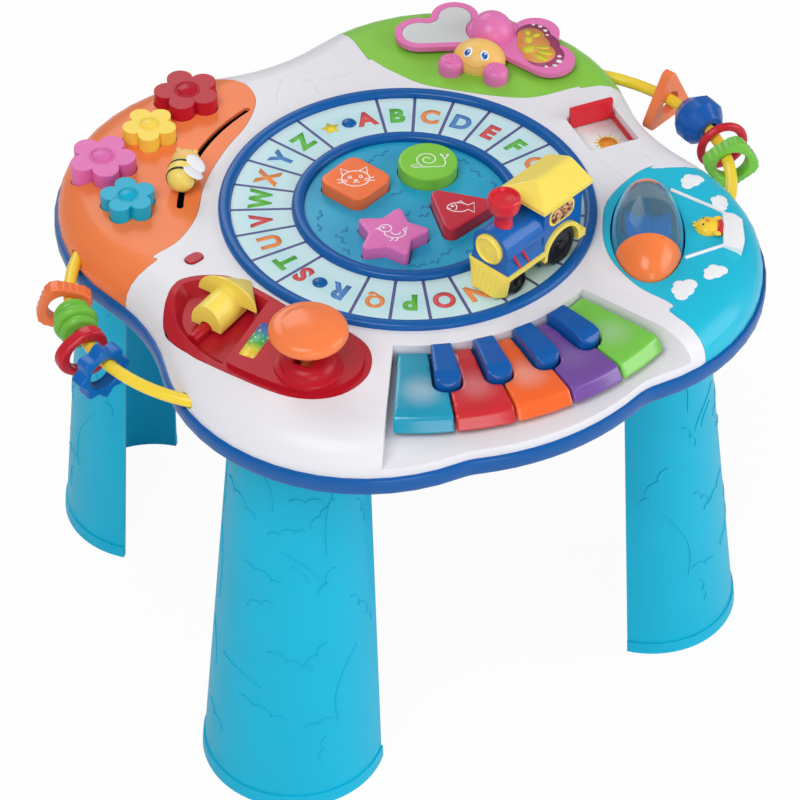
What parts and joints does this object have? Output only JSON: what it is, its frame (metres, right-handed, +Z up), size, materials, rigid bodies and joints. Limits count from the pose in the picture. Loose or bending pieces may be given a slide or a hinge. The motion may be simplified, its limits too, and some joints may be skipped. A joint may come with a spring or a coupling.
{
  "type": "activity table",
  "caption": "Child's musical activity table: a lobed deck with a letter track, a train, a keyboard, press buttons, sliders and bead rails on half-round legs.",
  "frame": {"origin": "on the floor under the centre of the letter track", "axes": "+Z up, -Y towards the keyboard, +X to the right of a child at the keyboard"},
  "size_m": [0.5554, 0.4754, 0.4462],
  "materials": {
    "blue_plastic": "smooth moulded",
    "white_plastic": "smooth moulded",
    "orange_plastic": "smooth moulded",
    "green_plastic": "smooth moulded",
    "sky_plastic": "smooth moulded",
    "red_plastic": "smooth moulded",
    "leg_plastic": "satin with raised clouds",
    "printed_band": "printed film",
    "pond_plastic": "smooth moulded",
    "peach_plastic": "smooth moulded",
    "pink_plastic": "smooth moulded",
    "mirror_film": "polished",
    "yellow_plastic": "smooth moulded",
    "lens_red": "clear red",
    "cell_metal": "printed sleeve",
    "speaker_metal": "black paper cone in steel",
    "board": "green lacquer",
    "grey_plastic": "satin",
    "pale_yellow": "smooth moulded",
    "black_plastic": "smooth moulded",
    "warm_orange": "smooth moulded",
    "teal_plastic": "smooth moulded",
    "lemon_plastic": "smooth moulded",
    "knob_orange": "smooth moulded",
    "key_teal": "smooth moulded",
    "key_red": "smooth moulded",
    "key_orange": "smooth moulded",
    "key_purple": "smooth moulded",
    "key_green": "smooth moulded",
    "smoky_clear": "smooth moulded",
    "fan_blue": "smooth moulded",
    "bead_green": "smooth moulded"
  },
  "bodies": {
    "table": {"bottom_tray": "blue_plastic", "top_shell": "white_plastic", "orange_cover": "orange_plastic", "green_cover": "green_plastic", "sky_cover": "sky_plastic", "red_console": "red_plastic", "legs": "leg_plastic", "track_ring": "blue_plastic", "letter_band": "printed_band", "pond_plate": "pond_plastic", "butterfly_head": "peach_plastic", "butterfly_body": "pink_plastic", "butterfly_wings": "pink_plastic", "wing_mirror": "mirror_film", "bead_rails": "yellow_plastic", "indicator_lens": "lens_red", "balloon_basket": "white_plastic", "balloon_rider": "yellow_plastic", "battery_door": "blue_plastic", "batteries": "cell_metal", "speaker": "speaker_metal", "circuit_board": "board"},
    "power_switch": {"power_switch": "grey_plastic"},
    "train": {"train_chassis": "pale_yellow", "train_body": "blue_plastic", "train_roof": "pale_yellow", "train_chimney": "red_plastic"},
    "rear_wheels": {"rear_wheels": "black_plastic"},
    "front_wheels": {"front_wheels": "black_plastic"},
    "square_button": {"square_button": "warm_orange"},
    "round_button": {"round_button": "green_plastic"},
    "triangle_button": {"triangle_button": "red_plastic"},
    "star_button": {"star_button": "pink_plastic"},
    "flower_red": {"flower_red": "red_plastic"},
    "flower_yellow": {"flower_yellow": "yellow_plastic"},
    "flower_pink": {"flower_pink": "pink_plastic"},
    "flower_teal": {"flower_teal": "teal_plastic"},
    "bee": {"bee": "yellow_plastic"},
    "arrow_slider": {"arrow_slider": "lemon_plastic"},
    "joystick": {"joystick": "knob_orange"},
    "key_teal": {"key_teal": "key_teal"},
    "key_red": {"key_red": "key_red"},
    "key_orange": {"key_orange": "key_orange"},
    "key_purple": {"key_purple": "key_purple"},
    "key_green": {"key_green": "key_green"},
    "sharp_keys_1": {"sharp_keys_1": "blue_plastic"},
    "sharp_keys_2": {"sharp_keys_2": "blue_plastic"},
    "sharp_keys_3": {"sharp_keys_3": "blue_plastic"},
    "sharp_keys_4": {"sharp_keys_4": "blue_plastic"},
    "balloon": {"balloon_barrel": "smoky_clear", "balloon_core": "fan_blue"},
    "sun_door": {"sun_door": "red_plastic"},
    "bead_orange_ring": {"bead_orange_ring": "warm_orange"},
    "bead_green_ball": {"bead_green_ball": "bead_green"},
    "bead_red_ring": {"bead_red_ring": "red_plastic"},
    "bead_blue_ring": {"bead_blue_ring": "blue_plastic"},
    "bead_arrow_ring": {"bead_arrow_ring": "warm_orange"},
    "bead_blue_ball": {"bead_blue_ball": "blue_plastic"},
    "bead_thin_ring": {"bead_thin_ring": "red_plastic"},
    "bead_green_ring": {"bead_green_ring": "bead_green"}
  },
  "joints": [
    {"name": "train_circuit", "type": "hinge", "parent": "table", "child": "train", "pos_m": [0, 0, 0.37], "axis": [0, 0, 1], "continuous": true},
    {"name": "rear_axle", "type": "hinge", "parent": "train", "child": "rear_wheels", "pos_m": [0.05688, -0.09001, 0.385], "axis": [0.3024, -0.9532, 0], "continuous": true},
    {"name": "front_axle", "type": "hinge", "parent": "train", "child": "front_wheels", "pos_m": [0.01399, -0.10362, 0.379], "axis": [0.3024, -0.9532, 0], "continuous": true},
    {"name": "power_slide", "type": "slide", "parent": "table", "child": "power_switch", "axis": [1, 0, 0], "range_m": [0, 0.008]},
    {"name": "square_button_press", "type": "slide", "parent": "table", "child": "square_button", "axis": [0, 0, -1], "range_m": [0, 0.003], "stiffness_N_per_m": 400, "springref_m": -0.002},
    {"name": "round_button_press", "type": "slide", "parent": "table", "child": "round_button", "axis": [0, 0, -1], "range_m": [0, 0.003], "stiffness_N_per_m": 400, "springref_m": -0.002},
    {"name": "triangle_button_press", "type": "slide", "parent": "table", "child": "triangle_button", "axis": [0, 0, -1], "range_m": [0, 0.003], "stiffness_N_per_m": 400, "springref_m": -0.002},
    {"name": "star_button_press", "type": "slide", "parent": "table", "child": "star_button", "axis": [0, 0, -1], "range_m": [0, 0.003], "stiffness_N_per_m": 400, "springref_m": -0.002},
    {"name": "flower_red_press", "type": "slide", "parent": "table", "child": "flower_red", "axis": [0, 0, -1], "range_m": [0, 0.003], "stiffness_N_per_m": 400, "springref_m": -0.002},
    {"name": "flower_yellow_press", "type": "slide", "parent": "table", "child": "flower_yellow", "axis": [0, 0, -1], "range_m": [0, 0.003], "stiffness_N_per_m": 400, "springref_m": -0.002},
    {"name": "flower_pink_press", "type": "slide", "parent": "table", "child": "flower_pink", "axis": [0, 0, -1], "range_m": [0, 0.003], "stiffness_N_per_m": 400, "springref_m": -0.002},
    {"name": "flower_teal_press", "type": "slide", "parent": "table", "child": "flower_teal", "axis": [0, 0, -1], "range_m": [0, 0.003], "stiffness_N_per_m": 400, "springref_m": -0.002},
    {"name": "bee_slide", "type": "hinge", "parent": "table", "child": "bee", "pos_m": [0, 0, 0.37], "axis": [0, 0, 1], "range_deg": [-34.5, 8.5]},
    {"name": "arrow_slide", "type": "slide", "parent": "table", "child": "arrow_slider", "axis": [0.8949, 0.4462, 0], "range_m": [-0.0095, 0.0035]},
    {"name": "joystick_tilt", "type": "hinge", "parent": "table", "child": "joystick", "pos_m": [-0.1455, -0.1185, 0.371], "axis": [-0.5878, 0.809, 0], "range_deg": [-12, 12], "stiffness_Nm_per_rad": 0.4},
    {"name": "key_teal_press", "type": "hinge", "parent": "table", "child": "key_teal", "pos_m": [-0.06674, -0.12985, 0.356], "axis": [0.8894, -0.4571, 0], "range_deg": [0, 2.8], "stiffness_Nm_per_rad": 1.5, "springref_deg": -3.44},
    {"name": "key_red_press", "type": "hinge", "parent": "table", "child": "key_red", "pos_m": [-0.04049, -0.14027, 0.356], "axis": [0.9608, -0.2773, 0], "range_deg": [0, 2.8], "stiffness_Nm_per_rad": 1.5, "springref_deg": -3.44},
    {"name": "key_orange_press", "type": "hinge", "parent": "table", "child": "key_orange", "pos_m": [-0.01273, -0.14544, 0.356], "axis": [0.9962, -0.0872, 0], "range_deg": [0, 2.8], "stiffness_Nm_per_rad": 1.5, "springref_deg": -3.44},
    {"name": "key_purple_press", "type": "hinge", "parent": "table", "child": "key_purple", "pos_m": [0.01551, -0.14517, 0.356], "axis": [0.9943, 0.1063, 0], "range_deg": [0, 2.8], "stiffness_Nm_per_rad": 1.5, "springref_deg": -3.44},
    {"name": "key_green_press", "type": "hinge", "parent": "table", "child": "key_green", "pos_m": [0.04317, -0.13947, 0.356], "axis": [0.9553, 0.2957, 0], "range_deg": [0, 2.8], "stiffness_Nm_per_rad": 1.5, "springref_deg": -3.44},
    {"name": "sharp_keys_1_press", "type": "hinge", "parent": "table", "child": "sharp_keys_1", "pos_m": [-0.05387, -0.1357, 0.356], "axis": [0.9295, -0.3689, 0], "range_deg": [0, 4], "stiffness_Nm_per_rad": 1, "springref_deg": -3.44},
    {"name": "sharp_keys_2_press", "type": "hinge", "parent": "table", "child": "sharp_keys_2", "pos_m": [-0.02673, -0.14353, 0.356], "axis": [0.9831, -0.1831, 0], "range_deg": [0, 4], "stiffness_Nm_per_rad": 1, "springref_deg": -3.44},
    {"name": "sharp_keys_3_press", "type": "hinge", "parent": "table", "child": "sharp_keys_3", "pos_m": [0.0014, -0.14599, 0.356], "axis": [1, 0.0096, 0], "range_deg": [0, 4], "stiffness_Nm_per_rad": 1, "springref_deg": -3.44},
    {"name": "sharp_keys_4_press", "type": "hinge", "parent": "table", "child": "sharp_keys_4", "pos_m": [0.02948, -0.14299, 0.356], "axis": [0.9794, 0.2019, 0], "range_deg": [0, 4], "stiffness_Nm_per_rad": 1, "springref_deg": -3.44},
    {"name": "balloon_spin", "type": "hinge", "parent": "table", "child": "balloon", "pos_m": [0.13403, -0.107, 0.3675], "axis": [0.5299, 0.848, 0], "continuous": true},
    {"name": "door_slide", "type": "slide", "parent": "table", "child": "sun_door", "axis": [-0.1045, -0.9945, 0], "range_m": [0, 0.037]},
    {"name": "bead_orange_ring_slide", "type": "hinge", "parent": "table", "child": "bead_orange_ring", "pos_m": [-0.12769, 0, 0.349], "axis": [0, 0, 1], "range_deg": [0, 1.6]},
    {"name": "bead_green_ball_spin", "type": "hinge", "parent": "table", "child": "bead_green_ball", "pos_m": [-0.25183, 0.02301, 0.349], "axis": [-0.1822, -0.9833, 0], "continuous": true},
    {"name": "bead_red_ring_slide", "type": "hinge", "parent": "table", "child": "bead_red_ring", "pos_m": [-0.12769, 0, 0.349], "axis": [0, 0, 1], "range_deg": [-0.8, 3]},
    {"name": "bead_blue_ring_slide", "type": "hinge", "parent": "table", "child": "bead_blue_ring", "pos_m": [-0.12769, 0, 0.349], "axis": [0, 0, 1], "range_deg": [-3, 9]},
    {"name": "bead_arrow_ring_slide", "type": "hinge", "parent": "table", "child": "bead_arrow_ring", "pos_m": [0.12769, 0, 0.349], "axis": [0, 0, 1], "range_deg": [-4, 3]},
    {"name": "bead_blue_ball_spin", "type": "hinge", "parent": "table", "child": "bead_blue_ball", "pos_m": [0.25386, 0.00441, 0.349], "axis": [-0.0349, 0.9994, 0], "continuous": true},
    {"name": "bead_thin_ring_slide", "type": "hinge", "parent": "table", "child": "bead_thin_ring", "pos_m": [0.12769, 0, 0.349], "axis": [0, 0, 1], "range_deg": [-1.5, 0.8]},
    {"name": "bead_green_ring_slide", "type": "hinge", "parent": "table", "child": "bead_green_ring", "pos_m": [0.12769, 0, 0.349], "axis": [0, 0, 1], "range_deg": [-3, 1.5]}
  ],
  "couplings": [
    {"joint": "rear_axle", "follows": "train_circuit", "ratio": -7.0068},
    {"joint": "front_axle", "follows": "train_circuit", "ratio": -11.839}
  ]
}
